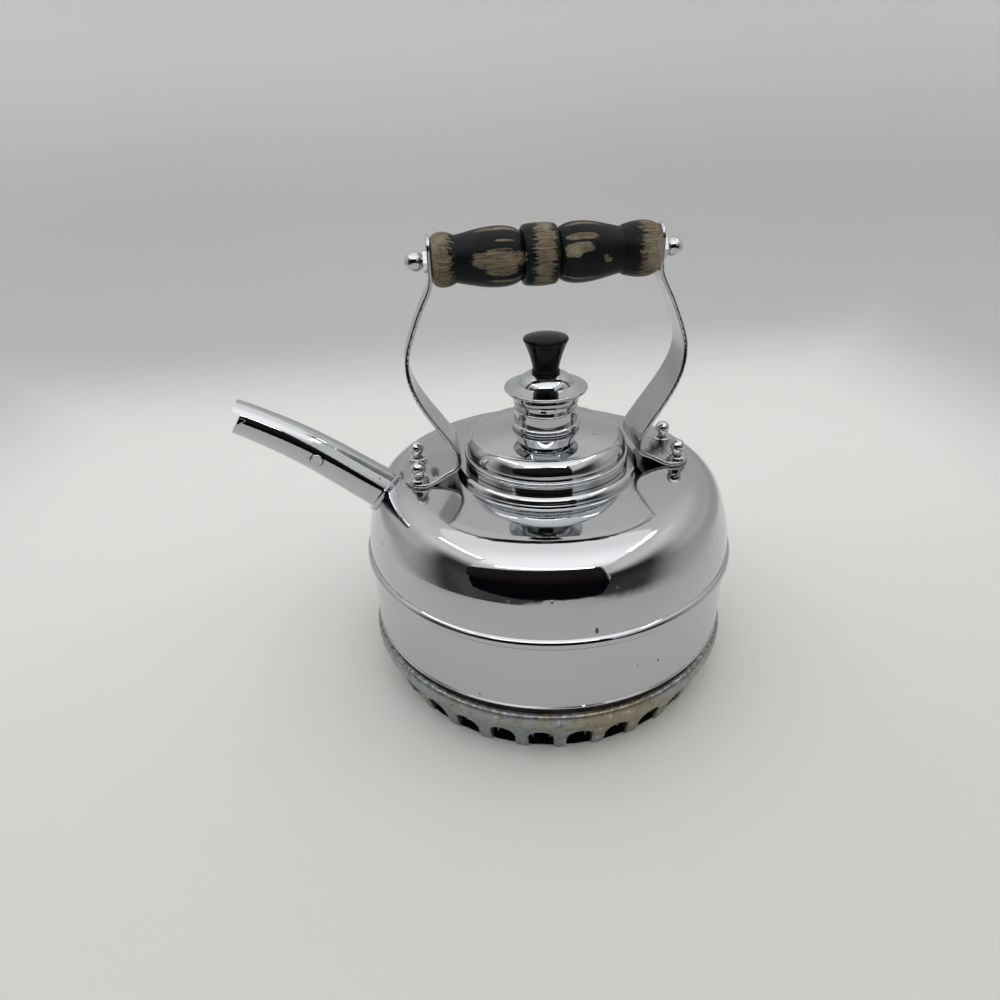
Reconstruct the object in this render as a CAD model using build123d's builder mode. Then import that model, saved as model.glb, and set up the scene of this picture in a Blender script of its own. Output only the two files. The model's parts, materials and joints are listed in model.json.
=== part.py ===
from build123d import *
import os
from math import asin, cos, radians, sin, sqrt

# Whistling stovetop kettle. Millimetres, +Z up. The origin is on the axis of the round body, on
# the plane it stands on. The spout points to -X, and the handle lies in the XZ plane.

os.makedirs("parts", exist_ok=True)

# ---- driving dimensions -------------------------------------------------------------------

fit_gap = 0.3            # clearance between pieces that move past each other
sheet = 1.0              # body sheet thickness

body_radius = 102.0      # outside of the upper and lower shells
bead_radius = 104.0      # outside of the bead round the middle
bead_low = 74.0          # bead height range
bead_high = 80.0
seam_height = 77.0       # where the two shells meet, behind the bead
shell_foot = 36.0        # bottom edge of the lower shell
shoulder_arcs = ((60.0, 17.0), (120.0, 22.0), (20.5, 90.0))  # radius, slope at the end in degrees
top_centre = 120.6       # top of the shell where it meets the neck
neck_bore = 44.0         # inside radius of the lid opening

base_rim_radius = 100.9  # downturned rim of the base plate
base_height = 34.0       # underside of the base plate
base_rim_low = 29.0

ring_foot_radius = 95.0  # outside of the cast heat ring at the feet
ring_ledge_radius = 101.3
ring_ledge = 20.5        # height of the ledge under the rounded band
ring_band_radius = 104.0
ring_top = 31.0
ring_inner = 90.5        # inside of the cast ring at the feet
arch_count = 30
arch_width = 13.0
arch_height = 16.0
arch_start = 6.0         # turns the arches so that one faces -Y
fin_inner = 72.0         # sleeve and fins inside the heat ring
fin_outer = 90.0
fin_sheet = 1.0
fin_sleeve_wall = 1.6
fin_low = 2.0            # underside of the fins

collar_radius = 50.0     # rounded collar round the lid opening
collar_top = 124.6
neck_low = 116.0         # the collar's sleeve reaches down inside the body to here

lid_rim_radius = 44.9
lid_rim_low = 127.3
lid_rim_high = 130.5
lid_wall_radius = 43.4
lid_edge = (41.0, 138.2)       # outer and inner end of the lid's rounded edge
lid_shoulder = (37.0, 140.3)
lid_crown = 143.6        # top of the lid where the turret stands
skirt_radius = 43.7
skirt_low = 113.0

turret_foot_radius = 18.6
turret_radius = 17.2
turret_top = 154.5
cap_band_radius = 18.0
cap_band_low = 158.3
flange_radius = 22.1
flange_low = 164.2
dome_radius = 14.2
dome_top = 173.0
steam_tube_radius = 14.6
vent_radius = 0.9        # small vent hole in the turret's foot
vent_height = 145.4
vent_angle = -52.0

knob_low = 173.0
knob_waist = 175.2
knob_wide = 190.8
knob_top = 193.4
knob_bore_top = 186.0    # blind end of the screw hole in the knob
knob_waist_radius = 6.8
knob_wide_radius = 11.7

grip_axis = 232.0        # height of the handle rod
grip_half = 54.6
rod_radius = 3.0
rod_half = 62.0
strap_sheet = 2.2
strap_top_x = 56.0
pad_mid = 121.5          # mid plane of the strap feet
stud_x = 70.7
stud_y = 12.6
stud_radius = 2.0

spout_root = (-88.6, 110.9)   # on the spout's centre line, just outside the shell
spout_slope = 39.3            # degrees above level at the root
spout_straight = 31.8
spout_bend_radius = 270.0
spout_bend = 12.3             # degrees turned by the bend near the mouth
root_radius = 11.4
mouth_radius = 8.5
spout_sheet = 0.9
collar_wall = 1.9             # ring round the spout's root
collar_height = 2.0           # how far that ring stands off the shoulder
pivot_run = 43.4              # distance of the flap's pin along the centre line
pin_radius = 1.5


def save(part, label):
    part.label = label
    export_step(part, f"parts/{label}.step")


# ---- shell outline ------------------------------------------------------------------------

def shoulder_points(inset):
    """Start, middle and end of each arc of the shoulder, on a line inset from the outside."""
    radius = body_radius
    height = bead_high
    slope = 0.0
    arcs = []
    for arc_radius, end_slope in shoulder_arcs:
        centre_r = radius - arc_radius * cos(radians(slope))
        centre_z = height - arc_radius * sin(radians(slope))
        middle = (slope + end_slope) / 2
        points = []
        for angle in (slope, middle, end_slope):
            reach = arc_radius - inset
            points.append((centre_r + reach * cos(radians(angle)),
                           centre_z + reach * sin(radians(angle))))
        arcs.append(points)
        radius = centre_r + arc_radius * cos(radians(end_slope))
        height = centre_z + arc_radius * sin(radians(end_slope))
        slope = end_slope
    return arcs


shoulder_end = shoulder_points(0.0)[-1][-1]
neck_outer = neck_bore + 2.0

with BuildPart() as shell_body:
    with BuildSketch(Plane.XZ):
        with BuildLine():
            outer = shoulder_points(0.0)
            inner = shoulder_points(sheet)
            Line((body_radius, seam_height), outer[0][0])
            for start, middle, end in outer:
                ThreePointArc(start, middle, end)
            Line(outer[-1][-1], (neck_outer, top_centre))
            Line((neck_outer, top_centre), (neck_outer, top_centre - sheet))
            Line((neck_outer, top_centre - sheet), inner[-1][-1])
            for start, middle, end in reversed(inner):
                ThreePointArc(end, middle, start)
            Line(inner[0][0], (body_radius - sheet, seam_height))
            Line((body_radius - sheet, seam_height), (body_radius, seam_height))
        make_face()
    revolve(axis=Axis.Z)


def filled_body(grow):
    """The round body as one closed solid, grown outwards by a given amount."""
    arcs = shoulder_points(-grow)
    with BuildPart() as body:
        with BuildSketch(Plane.XZ):
            with BuildLine():
                Line((0, shell_foot), (body_radius + grow, shell_foot))
                Line((body_radius + grow, shell_foot), arcs[0][0])
                for start, middle, end in arcs:
                    ThreePointArc(start, middle, end)
                Line(arcs[-1][-1], (0, top_centre + grow))
                Line((0, top_centre + grow), (0, shell_foot))
            make_face()
        revolve(axis=Axis.Z)
    return body.part


shell_core = filled_body(0.0)

# ---- spout: a tapered tube along a straight run and one gentle bend -----------------------

spout_length = spout_straight + spout_bend_radius * radians(spout_bend)


def spout_plane(run):
    """Plane across the spout at a distance along its centre line from the root."""
    turned = max(0.0, run - spout_straight) / spout_bend_radius
    slope = radians(spout_slope)
    straight = min(run, spout_straight)
    out = straight * cos(slope) + spout_bend_radius * (sin(slope) - sin(slope - turned))
    rise = straight * sin(slope) + spout_bend_radius * (cos(slope - turned) - cos(slope))
    heading = slope - turned
    return Plane(
        origin=(spout_root[0] - out, 0, spout_root[1] + rise),
        x_dir=(0, 1, 0),
        z_dir=(-cos(heading), 0, sin(heading)),
    )


def spout_radius(run):
    return root_radius + (mouth_radius - root_radius) * max(run, 0.0) / spout_length


spout_tail = 14.0       # how far the spout is drawn back into the body before trimming
spout_stations = [-spout_tail, 0.0] + [spout_length * step / 6 for step in range(1, 7)]

with BuildPart() as spout:
    for run in spout_stations:
        with BuildSketch(spout_plane(run)):
            Circle(spout_radius(run))
    loft()
with BuildPart() as spout_bore:
    for run in spout_stations + [spout_length + 2.0]:
        with BuildSketch(spout_plane(run)):
            Circle(spout_radius(run) - spout_sheet)
    loft()

pivot_plane = spout_plane(pivot_run)
pivot_x = pivot_plane.origin.X
pivot_z = pivot_plane.origin.Z
mouth_plane = spout_plane(spout_length)
pivot_tube_radius = spout_radius(pivot_run)

# The mouth is cut back at the sides above a short pouring lip.
lip_cut = Plane(origin=mouth_plane.origin, x_dir=(mouth_plane.z_dir.X, 0, mouth_plane.z_dir.Z),
                z_dir=(0, -1, 0))
with BuildPart() as mouth_notch:
    with BuildSketch(lip_cut):
        with BuildLine():
            Polyline((3, 12), (-2.4, 12), (-3.2, 1.5), (-7.5, -3.2), (-6.5, -4.4), (3, -5.6), (3, 12))
        make_face()
    extrude(amount=20, both=True)

with BuildPart() as spout_tube:
    add(spout.part)
    add(spout_bore.part, mode=Mode.SUBTRACT)
    add(shell_core, mode=Mode.SUBTRACT)
    add(mouth_notch.part, mode=Mode.SUBTRACT)
    with Locations(Location((pivot_x, 0, pivot_z), (90, 0, 0))):
        Cylinder(pin_radius, 40, mode=Mode.SUBTRACT)
save(spout_tube.part, "spout_tube")

# Soldered ring where the spout meets the shoulder. It follows the curve of the body.
with BuildPart() as spout_collar:
    with BuildSketch(spout_plane(-spout_tail)):
        Circle(root_radius + collar_wall)
    extrude(amount=2 * spout_tail)
    add(filled_body(collar_height), mode=Mode.INTERSECT)
    add(shell_core, mode=Mode.SUBTRACT)
    add(spout.part, mode=Mode.SUBTRACT)
save(spout_collar.part, "spout_collar")

# ---- upper shell, with its neck hole, spout hole and stud holes ---------------------------

with BuildPart() as upper_shell:
    add(shell_body.part)
    add(spout_bore.part, mode=Mode.SUBTRACT)
    with Locations(Plane.XY.offset(top_centre)):
        with GridLocations(2 * stud_x, 2 * stud_y, 2, 2):
            Cylinder(stud_radius, 20, mode=Mode.SUBTRACT)
save(upper_shell.part, "upper_shell")

with BuildPart() as lower_shell:
    with BuildSketch(Plane.XZ):
        with BuildLine():
            Polyline(
                (body_radius, seam_height),
                (body_radius, shell_foot + 1.0),
                (body_radius + 0.5, shell_foot + 0.5),
                (body_radius + 0.5, shell_foot),
                (body_radius - sheet, shell_foot),
                (body_radius - sheet, seam_height),
                (body_radius, seam_height),
            )
        make_face()
    revolve(axis=Axis.Z)
save(lower_shell.part, "lower_shell")

with BuildPart() as seam_bead:
    with BuildSketch(Plane.XZ):
        with BuildLine():
            ThreePointArc((body_radius, bead_low), (bead_radius, seam_height), (body_radius, bead_high))
            Line((body_radius, bead_high), (body_radius, bead_low))
        make_face()
    revolve(axis=Axis.Z)
save(seam_bead.part, "seam_bead")

# ---- base: flanged plate, cast heat ring, sleeve and fins ----------------------------------

with BuildPart() as base_plate:
    with BuildSketch(Plane.XZ):
        with BuildLine():
            Polyline(
                (0, base_height),
                (base_rim_radius - sheet, base_height),
                (base_rim_radius - sheet, base_rim_low),
                (base_rim_radius, base_rim_low),
                (base_rim_radius, base_height + 6.0),
                (base_rim_radius - sheet, base_height + 6.0),
                (base_rim_radius - sheet, base_height + 1.2),
                (0, base_height + 1.2),
                (0, base_height),
            )
        make_face()
    revolve(axis=Axis.Z)
save(base_plate.part, "base_plate")

groove_in = base_rim_radius - sheet - 0.1
groove_out = base_rim_radius + 0.1
arch_spring = arch_height - arch_width / 2
with BuildPart() as arch:
    with BuildSketch(Plane.YZ.offset(ring_inner - 15.0)):
        with BuildLine():
            Polyline((-arch_width / 2, arch_spring), (-arch_width / 2, -5.0), (arch_width / 2, -5.0),
                     (arch_width / 2, arch_spring))
            ThreePointArc((arch_width / 2, arch_spring), (0, arch_height),
                          (-arch_width / 2, arch_spring))
        make_face()
    extrude(amount=40.0)

with BuildPart() as heat_ring:
    with BuildSketch(Plane.XZ):
        with BuildLine():
            Line((ring_inner, 0), (ring_foot_radius, 0))
            Line((ring_foot_radius, 0), (ring_ledge_radius, ring_ledge))
            Line((ring_ledge_radius, ring_ledge), (ring_ledge_radius + 1.0, ring_ledge + 0.8))
            ThreePointArc((ring_ledge_radius + 1.0, ring_ledge + 0.8),
                          (ring_band_radius, ring_ledge + 5.4),
                          (ring_band_radius - 0.9, ring_top - 0.8))
            Line((ring_band_radius - 0.9, ring_top - 0.8), (ring_band_radius - 1.8, ring_top))
            Line((ring_band_radius - 1.8, ring_top), (groove_out, ring_top))
            Line((groove_out, ring_top), (groove_out, base_rim_low - 0.1))
            Line((groove_out, base_rim_low - 0.1), (groove_in, base_rim_low - 0.1))
            Line((groove_in, base_rim_low - 0.1), (groove_in, base_height))
            Line((groove_in, base_height), (groove_in - 5.0, base_height))
            Line((groove_in - 5.0, base_height), (groove_in - 5.0, ring_ledge + 1.0))
            Line((groove_in - 5.0, ring_ledge + 1.0), (ring_inner, 0))
        make_face()
    revolve(axis=Axis.Z)
    with PolarLocations(0, arch_count, start_angle=arch_start):
        add(arch.part, mode=Mode.SUBTRACT)
save(heat_ring.part, "heat_ring")

with BuildPart() as fin_sleeve:
    with BuildSketch():
        Circle(fin_inner + fin_sleeve_wall)
        Circle(fin_inner, mode=Mode.SUBTRACT)
    extrude(amount=base_height)
save(fin_sleeve.part, "fin_sleeve")

fin_length = fin_outer - fin_inner - fin_sleeve_wall
with BuildPart() as heat_fins:
    with BuildSketch(Plane.XY.offset(fin_low)):
        with PolarLocations(fin_outer - fin_length / 2, 2 * arch_count, start_angle=arch_start / 2):
            Rectangle(fin_length - 0.2, fin_sheet)
    extrude(amount=base_height - fin_low)
save(heat_fins.part, "heat_fins")

# ---- neck collar --------------------------------------------------------------------------

with BuildPart() as neck_collar:
    with BuildSketch(Plane.XZ):
        with BuildLine():
            Line((neck_bore, neck_low), (neck_outer, neck_low))
            Line((neck_outer, neck_low), (neck_outer, top_centre))
            Line((neck_outer, top_centre), (collar_radius, top_centre))
            ThreePointArc((collar_radius, top_centre), (collar_radius - 0.1, collar_top - 1.9),
                          (collar_radius - 1.9, collar_top))
            Line((collar_radius - 1.9, collar_top), (neck_bore + 0.2, collar_top))
            Line((neck_bore + 0.2, collar_top), (neck_bore, collar_top - 0.2))
            Line((neck_bore, collar_top - 0.2), (neck_bore, neck_low))
        make_face()
    revolve(axis=Axis.Z)
save(neck_collar.part, "neck_collar")

# ---- lid ----------------------------------------------------------------------------------

lid_sheet = 0.9
inner_shoulder = (lid_shoulder[0] - 0.2, lid_shoulder[1] - lid_sheet)
inner_edge = (lid_edge[0] - 0.8, lid_edge[1] - 0.4)
with BuildPart() as lid_shell:
    with BuildSketch(Plane.XZ):
        with BuildLine():
            Line((lid_wall_radius, lid_rim_low), (lid_wall_radius, lid_rim_high))
            ThreePointArc((lid_wall_radius, lid_rim_high), (42.9, 134.6), lid_edge)
            ThreePointArc(lid_edge, (39.3, 139.7), lid_shoulder)
            Line(lid_shoulder, inner_shoulder)
            ThreePointArc(inner_shoulder, (38.7, 138.9), inner_edge)
            ThreePointArc(inner_edge, (42.0, 134.4), (lid_wall_radius - lid_sheet, lid_rim_high))
            Line((lid_wall_radius - lid_sheet, lid_rim_high), (lid_wall_radius - lid_sheet, lid_rim_low))
            Line((lid_wall_radius - lid_sheet, lid_rim_low), (lid_wall_radius, lid_rim_low))
        make_face()
    revolve(axis=Axis.Z)
save(lid_shell.part, "lid_shell")

with BuildPart() as lid_top:
    with BuildSketch(Plane.XZ):
        with BuildLine():
            ThreePointArc(lid_shoulder, (28.0, 142.2), (steam_tube_radius, lid_crown))
            Line((steam_tube_radius, lid_crown), (steam_tube_radius, lid_crown - lid_sheet))
            ThreePointArc((steam_tube_radius, lid_crown - lid_sheet), (27.8, 141.3), inner_shoulder)
            Line(inner_shoulder, lid_shoulder)
        make_face()
    revolve(axis=Axis.Z)
save(lid_top.part, "lid_top")

with BuildPart() as lid_rim:
    with BuildSketch(Plane.XZ):
        with BuildLine():
            Line((lid_wall_radius, lid_rim_low), (lid_wall_radius, lid_rim_high))
            ThreePointArc((lid_wall_radius, lid_rim_high), (lid_rim_radius, 129.7),
                          (lid_wall_radius + 0.9, 128.7))
            ThreePointArc((lid_wall_radius + 0.9, 128.7), (lid_rim_radius - 0.1, 128.1),
                          (lid_rim_radius - 0.4, lid_rim_low))
            Line((lid_rim_radius - 0.4, lid_rim_low), (lid_wall_radius, lid_rim_low))
        make_face()
    revolve(axis=Axis.Z)
save(lid_rim.part, "lid_rim")

with BuildPart() as lid_skirt:
    with BuildSketch(Plane.XZ):
        with BuildLine():
            Polyline(
                (skirt_radius - sheet, skirt_low),
                (skirt_radius - 0.3, skirt_low),
                (skirt_radius, skirt_low + 2.0),
                (skirt_radius, collar_top + fit_gap),
                (lid_rim_radius - 0.2, collar_top + fit_gap),
                (lid_rim_radius - 0.2, lid_rim_low),
                (skirt_radius - sheet, lid_rim_low),
                (skirt_radius - sheet, skirt_low),
            )
        make_face()
    revolve(axis=Axis.Z)
save(lid_skirt.part, "lid_skirt")

with BuildPart() as lid_turret:
    with BuildSketch(Plane.XZ):
        with BuildLine():
            Line((steam_tube_radius, lid_crown), (turret_foot_radius - 1.0, lid_crown))
            ThreePointArc((turret_foot_radius - 1.0, lid_crown), (turret_foot_radius, 145.1),
                          (turret_radius + 0.1, 147.0))
            Line((turret_radius + 0.1, 147.0), (turret_radius, turret_top - 1.0))
            ThreePointArc((turret_radius, turret_top - 1.0), (turret_radius - 0.3, turret_top - 0.3),
                          (turret_radius - 1.0, turret_top))
            Line((turret_radius - 1.0, turret_top), (steam_tube_radius, turret_top))
            Line((steam_tube_radius, turret_top), (steam_tube_radius, lid_crown))
        make_face()
    revolve(axis=Axis.Z)
    with Locations(Location((0, 0, vent_height), (0, 0, vent_angle))):
        with Locations(Location((turret_radius, 0, 0), (0, 90, 0))):
            Cylinder(vent_radius, 12, mode=Mode.SUBTRACT)
save(lid_turret.part, "lid_turret")

# Thin tube that carries the cap above the turret and leads steam up to the whistle.
with BuildPart() as steam_tube:
    with BuildSketch(Plane.XY.offset(lid_crown - 3.0)):
        Circle(steam_tube_radius)
        Circle(steam_tube_radius - 0.8, mode=Mode.SUBTRACT)
    extrude(amount=cap_band_low + 2.0 - lid_crown + 3.0)
    with Locations((0, 0, (turret_top + cap_band_low) / 2)):
        with PolarLocations(steam_tube_radius, 6, start_angle=15):
            Box(4.0, 3.0, 1.6, mode=Mode.SUBTRACT)
save(steam_tube.part, "steam_tube")

whistle_hole = 1.2
for name, height in (("whistle_disc_lower", 149.0), ("whistle_disc_upper", 152.2)):
    with BuildPart() as disc:
        with BuildSketch(Plane.XY.offset(height)):
            Circle(steam_tube_radius - 0.8)
            Circle(whistle_hole, mode=Mode.SUBTRACT)
        extrude(amount=0.6)
    save(disc.part, name)

with BuildPart() as whistle_cap:
    with BuildSketch(Plane.XZ):
        with BuildLine():
            Line((steam_tube_radius, cap_band_low), (cap_band_radius - 0.4, cap_band_low))
            ThreePointArc((cap_band_radius - 0.4, cap_band_low), (cap_band_radius, 160.4),
                          (cap_band_radius - 0.5, 162.6))
            Line((cap_band_radius - 0.5, 162.6), (flange_radius - 0.9, flange_low))
            ThreePointArc((flange_radius - 0.9, flange_low), (flange_radius, flange_low + 0.9),
                          (flange_radius - 0.9, flange_low + 1.8))
            ThreePointArc((flange_radius - 0.9, flange_low + 1.8), (18.0, 166.5),
                          (dome_radius + 0.4, 167.6))
            ThreePointArc((dome_radius + 0.4, 167.6), (12.6, 170.8), (8.6, dome_top - 0.1))
            Line((8.6, dome_top - 0.1), (2.2, dome_top))
            Line((2.2, dome_top), (2.2, dome_top - 1.0))
            Line((2.2, dome_top - 1.0), (8.4, dome_top - 1.0))
            ThreePointArc((8.4, dome_top - 1.0), (11.8, 170.2), (13.5, 167.2))
            Line((13.5, 167.2), (steam_tube_radius, 163.0))
            Line((steam_tube_radius, 163.0), (steam_tube_radius, cap_band_low))
        make_face()
    revolve(axis=Axis.Z)
save(whistle_cap.part, "whistle_cap")

crown_rise = knob_top - knob_wide - 0.9
crown_radius = ((knob_wide_radius - 0.6) ** 2 + crown_rise ** 2) / (2 * crown_rise)
with BuildPart() as lid_knob:
    with BuildSketch(Plane.XZ):
        with BuildLine():
            Line((2.1, knob_low), (7.2, knob_low))
            ThreePointArc((7.2, knob_low), (7.4, knob_low + 0.8), (knob_waist_radius, knob_waist))
            ThreePointArc((knob_waist_radius, knob_waist), (8.7, 182.8),
                          (knob_wide_radius - 0.3, knob_wide - 1.0))
            ThreePointArc((knob_wide_radius - 0.3, knob_wide - 1.0), (knob_wide_radius, knob_wide),
                          (knob_wide_radius - 0.6, knob_wide + 0.9))
            RadiusArc((knob_wide_radius - 0.6, knob_wide + 0.9), (0, knob_top), -crown_radius)
            Line((0, knob_top), (0, knob_bore_top))
            Line((0, knob_bore_top), (2.1, knob_bore_top))
            Line((2.1, knob_bore_top), (2.1, knob_low))
        make_face()
    revolve(axis=Axis.Z)
save(lid_knob.part, "lid_knob")

screw_low = dome_top - 5.5
with BuildPart() as knob_screw:
    with BuildSketch(Plane.XY.offset(screw_low)):
        Circle(4.0)
    extrude(amount=2.5)
    with BuildSketch(Plane.XY.offset(screw_low)):
        Circle(2.0)
    extrude(amount=knob_bore_top - 1.0 - screw_low)
    with BuildSketch(Plane.XY.offset(screw_low)):
        Rectangle(9.0, 1.0)
    extrude(amount=0.9, mode=Mode.SUBTRACT)
save(knob_screw.part, "knob_screw")

washer_low = dome_top - 3.0
with BuildPart() as knob_washer:
    with BuildSketch(Plane.XY.offset(washer_low)):
        Circle(7.0)
        Circle(2.1, mode=Mode.SUBTRACT)
    extrude(amount=2.0)
    with BuildSketch(Plane.XY.offset(washer_low)):
        Circle(8.0)
        Circle(6.0, mode=Mode.SUBTRACT)
    extrude(amount=0.8, mode=Mode.SUBTRACT)
save(knob_washer.part, "knob_washer")

# ---- handle straps ------------------------------------------------------------------------

curl_start = (48.6, 132.0)
curl_radius = 5.5
leg_slope = 25.0
foot_bend = 10.0
foot_end = 79.4
strap_tip = 11.8         # how far the strap reaches above the handle rod


def strap(side):
    """One strap: a strip bent in the XZ plane, trimmed to a tapered outline and an oval foot."""
    with BuildPart() as strip:
        with BuildSketch(Plane.XZ):
            with BuildLine() as centre_line:
                Line((strap_top_x, grip_axis + strap_tip + 1), (strap_top_x, grip_axis - 6))
                Spline(
                    (strap_top_x, grip_axis - 6), (60.6, 213.0), (67.0, 199.0), (71.0, 186.0),
                    (69.6, 172.5), (63.5, 159.5), (56.0, 147.8), (50.4, 139.0), curl_start,
                    tangents=((0, -1), (0, -1)),
                )
                curl = JernArc(curl_start, (0, -1), curl_radius, 90 - leg_slope)
                bend_drop = foot_bend * (1 - cos(radians(leg_slope)))
                leg_length = ((curl @ 1).Y - pad_mid - bend_drop) / sin(radians(leg_slope))
                leg = PolarLine(curl @ 1, leg_length, -leg_slope)
                bend = JernArc(leg @ 1, leg % 1, foot_bend, leg_slope)
                Line(bend @ 1, (foot_end, pad_mid))
            trace(centre_line.line, line_width=strap_sheet)
        extrude(amount=24, both=True)
    # Outline of the upright stretch, seen along X, and of the foot, seen from above.
    with BuildPart() as upright:
        with BuildSketch(Plane.YZ):
            with BuildLine():
                shoulder = grip_axis + strap_tip - 6.5
                edge = ((6.5, shoulder), (6.5, 222), (7.2, 203), (9.0, 186), (12.0, 170),
                        (14.0, 152), (14.6, 127))
                ThreePointArc((-6.5, shoulder), (0, grip_axis + strap_tip), (6.5, shoulder))
                Spline(*edge, tangents=((0, -1), (0, -1)))
                Line((14.6, 127), (-14.6, 127))
                Spline(*[(-y, z) for y, z in reversed(edge)], tangents=((0, 1), (0, 1)))
            make_face()
        extrude(amount=100)
        add(strip.part, mode=Mode.INTERSECT)
    with BuildPart() as foot:
        with BuildSketch(Plane.XY.offset(100)):
            with BuildLine():
                Line((40, 14.6), (40, -14.6))
                Line((40, -14.6), (54, -14.6))
                Spline((54, -14.6), (62, -16.6), (70, -18.4), (76.8, -13.6), (foot_end, 0),
                       (76.8, 13.6), (70, 18.4), (62, 16.6), (54, 14.6),
                       tangents=((1, 0), (-1, 0)))
                Line((54, 14.6), (40, 14.6))
            make_face()
        extrude(amount=27)
        add(strip.part, mode=Mode.INTERSECT)
    with BuildPart() as whole:
        add(upright.part)
        add(foot.part)
        with Locations(Location((strap_top_x, 0, grip_axis), (0, 90, 0))):
            Cylinder(rod_radius, 10, mode=Mode.SUBTRACT)
        with Locations((stud_x, stud_y, pad_mid), (stud_x, -stud_y, pad_mid)):
            Cylinder(stud_radius, 10, mode=Mode.SUBTRACT)
    if side > 0:
        return whole.part
    return mirror(whole.part, about=Plane.YZ)


save(strap(-1), "handle_strap_front")
save(strap(1), "handle_strap_rear")

# ---- foot fasteners: studs, ball nuts, washers and inner nuts ------------------------------

pad_top = pad_mid + strap_sheet / 2
stud_low = 112.0
washer_top = shoulder_end[1] - sheet - 0.05
washer_thick = 1.0
inner_nut_thick = 3.2
stud_spots = [(x, y) for x in (-stud_x, stud_x) for y in (-stud_y, stud_y)]


def at_studs(height):
    return [Location((x, y, height)) for x, y in stud_spots]


with BuildPart() as foot_studs:
    with Locations(*at_studs(stud_low)):
        Cylinder(stud_radius, pad_top + 4.0 - stud_low, align=(Align.CENTER, Align.CENTER, Align.MIN))
save(foot_studs.part, "foot_studs")

nut_ball = 4.0
nut_ball_height = 7.0
nut_neck = 2.9
nut_ball_drop = sqrt(nut_ball ** 2 - nut_neck ** 2)
nut_mid = (radians(90) - asin(nut_ball_drop / nut_ball)) / 2
with BuildPart() as ball_nut:
    with BuildSketch(Plane.XZ):
        with BuildLine():
            Polyline((stud_radius, 0), (5.2, 0), (5.2, 1.6), (4.4, 2.0), (4.4, 3.0), (3.0, 3.4))
            ThreePointArc((3.0, 3.4), (2.6, 3.8), (nut_neck, nut_ball_height - nut_ball_drop))
            ThreePointArc((nut_neck, nut_ball_height - nut_ball_drop),
                          (nut_ball * cos(nut_mid), nut_ball_height + nut_ball * sin(nut_mid)),
                          (0, nut_ball_height + nut_ball))
            Line((0, nut_ball_height + nut_ball), (0, 4.2))
            Line((0, 4.2), (stud_radius, 4.2))
            Line((stud_radius, 4.2), (stud_radius, 0))
        make_face()
    revolve(axis=Axis.Z)
with BuildPart() as foot_ball_nuts:
    with Locations(*at_studs(pad_top)):
        add(ball_nut.part)
save(foot_ball_nuts.part, "foot_ball_nuts")

with BuildPart() as inner_washers:
    with BuildSketch(Plane.XY.offset(washer_top)):
        with Locations(*stud_spots):
            Circle(5.5)
            Circle(stud_radius, mode=Mode.SUBTRACT)
    extrude(amount=-washer_thick)
save(inner_washers.part, "inner_washers")

with BuildPart() as inner_nuts:
    with BuildSketch(Plane.XY.offset(washer_top - washer_thick)):
        with Locations(*stud_spots):
            RegularPolygon(4.2, 6)
            Circle(stud_radius, mode=Mode.SUBTRACT)
    extrude(amount=-inner_nut_thick)
save(inner_nuts.part, "inner_nuts")

# ---- handle rod, nuts, ball ends and the turned grip ---------------------------------------

axis_plane = Plane(origin=(0, 0, grip_axis), x_dir=(0, 0, 1), z_dir=(1, 0, 0))
strap_outside = strap_top_x + strap_sheet / 2
nut_thick = 1.8

with BuildPart() as handle_rod:
    with BuildSketch(axis_plane):
        Circle(rod_radius)
    extrude(amount=rod_half, both=True)
save(handle_rod.part, "handle_rod")

with BuildPart() as rod_nuts:
    for side in (-1, 1):
        with BuildSketch(Plane(origin=(side * strap_outside, 0, grip_axis), x_dir=(0, 1, 0),
                               z_dir=(side, 0, 0))):
            RegularPolygon(5.6, 6)
            Circle(rod_radius, mode=Mode.SUBTRACT)
        extrude(amount=nut_thick)
save(rod_nuts.part, "rod_nuts")

ball_radius = 4.8
ball_face = strap_outside + nut_thick
ball_centre = ball_face + 3.9
with BuildPart() as rod_ball_nuts:
    for side in (-1, 1):
        with Locations((side * ball_centre, 0, grip_axis)):
            Sphere(ball_radius)
    with Locations((0, 0, grip_axis)):
        Box(2 * ball_face, 12, 12, mode=Mode.SUBTRACT)
    add(handle_rod.part, mode=Mode.SUBTRACT)
save(rod_ball_nuts.part, "rod_ball_nuts")

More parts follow.
